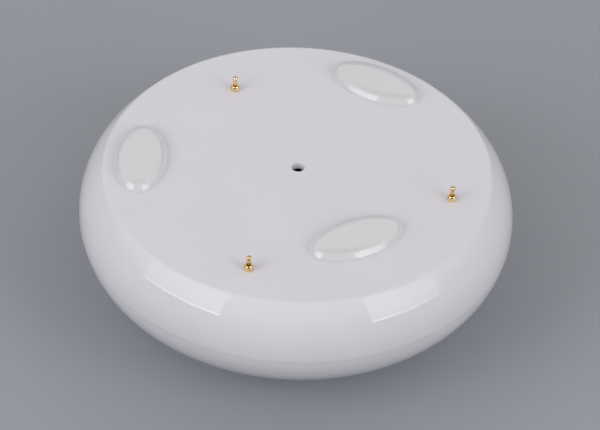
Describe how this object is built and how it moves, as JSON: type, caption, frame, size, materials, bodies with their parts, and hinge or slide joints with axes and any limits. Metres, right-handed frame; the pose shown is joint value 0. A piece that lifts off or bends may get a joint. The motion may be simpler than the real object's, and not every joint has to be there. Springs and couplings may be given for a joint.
{
  "type": "water leak sensor",
  "caption": "Round pebble-shaped water leak sensor with a flat underside, sprung gold probes, soft oval foot pads, a twist-off domed cover and a battery-powered board inside.",
  "frame": {"origin": "middle of the small flat on the crown of the domed cover, which the sensor lies on as pictured", "axes": "+Z leaves the flat underside, which is up as pictured and faces the floor in use; +Y points to the lone probe; +X completes the right-handed frame"},
  "size_m": [0.072, 0.072, 0.0293],
  "materials": {
    "shell_plastic": "glossy white moulded plastic",
    "seal_rubber": "soft grey seal rubber",
    "clear_silicone": "clear glossy silicone",
    "gold_plate": "polished gold plating",
    "spring_steel": "drawn spring wire",
    "board_laminate": "green solder mask",
    "fastener_steel": "bright zinc",
    "cell_wrap": "plain shrink sleeve",
    "cradle_plastic": "fine moulded texture",
    "nickel_leaf": "nickel-plated sheet",
    "terminal_plastic": "moulded green",
    "gasket_foam": "closed-cell foam",
    "copper_wire": "bare drawn copper",
    "chip_black": "moulded black",
    "ferrite": "pressed ferrite",
    "can_aluminium": "drawn can",
    "passive_ceramic": "fired ceramic",
    "switch_plastic": "moulded grey",
    "button_plastic": "moulded white",
    "lamp_plastic": "moulded lamp body",
    "clear_plastic": "clear moulded light guide"
  },
  "bodies": {
    "base": {"base_shell": "shell_plastic", "foot_pad_1": "clear_silicone", "foot_pad_2": "clear_silicone", "foot_pad_3": "clear_silicone", "probe_barrel_1": "gold_plate", "probe_barrel_2": "gold_plate", "probe_barrel_3": "gold_plate", "probe_spring_1": "spring_steel", "probe_spring_2": "spring_steel", "probe_spring_3": "spring_steel", "main_board": "board_laminate", "board_screws": "fastener_steel", "battery_cell": "cell_wrap", "battery_cradle": "cradle_plastic", "contact_positive": "nickel_leaf", "contact_negative": "nickel_leaf", "terminal_block": "terminal_plastic", "terminal_screws": "fastener_steel", "sounder": "chip_black", "sounder_gasket": "gasket_foam", "radio_board": "board_laminate", "radio_shield": "nickel_leaf", "antenna": "copper_wire", "controller_chip": "chip_black", "choke": "ferrite", "reservoir_capacitor": "can_aluminium", "output_relays": "chip_black", "tilt_sensor": "chip_black", "temperature_sensor": "chip_black", "passive_parts": "passive_ceramic", "tamper_switch": "switch_plastic", "service_switch": "switch_plastic", "indicator_lamp": "lamp_plastic", "light_guide": "clear_plastic"},
    "cover": {"top_cover": "shell_plastic", "seal_ring": "seal_rubber"},
    "plunger_1": {"probe_plunger_1": "gold_plate"},
    "plunger_2": {"probe_plunger_2": "gold_plate"},
    "plunger_3": {"probe_plunger_3": "gold_plate"},
    "tamper": {"tamper_button": "button_plastic"},
    "service": {"service_key": "chip_black"}
  },
  "joints": [
    {"name": "cover_twist", "type": "hinge", "parent": "base", "child": "cover", "pos_m": [0, 0, 0.0177], "axis": [0, 0, -1], "range_deg": [0, 20]},
    {"name": "probe_press_1", "type": "slide", "parent": "base", "child": "plunger_1", "axis": [0, 0, -1], "range_m": [0, 0.0013], "stiffness_N_per_m": 300, "springref_m": -0.0005, "deforming": ["probe_spring_1"]},
    {"name": "probe_press_2", "type": "slide", "parent": "base", "child": "plunger_2", "axis": [0, 0, -1], "range_m": [0, 0.0013], "stiffness_N_per_m": 300, "springref_m": -0.0005, "deforming": ["probe_spring_2"]},
    {"name": "probe_press_3", "type": "slide", "parent": "base", "child": "plunger_3", "axis": [0, 0, -1], "range_m": [0, 0.0013], "stiffness_N_per_m": 300, "springref_m": -0.0005, "deforming": ["probe_spring_3"]},
    {"name": "tamper_press", "type": "slide", "parent": "base", "child": "tamper", "axis": [0, 0, 1], "range_m": [0, 0.0004], "stiffness_N_per_m": 400, "springref_m": -0.0003},
    {"name": "service_press", "type": "slide", "parent": "base", "child": "service", "axis": [0, 0, 1], "range_m": [0, 0.00025], "stiffness_N_per_m": 1500, "springref_m": -0.0002}
  ]
}
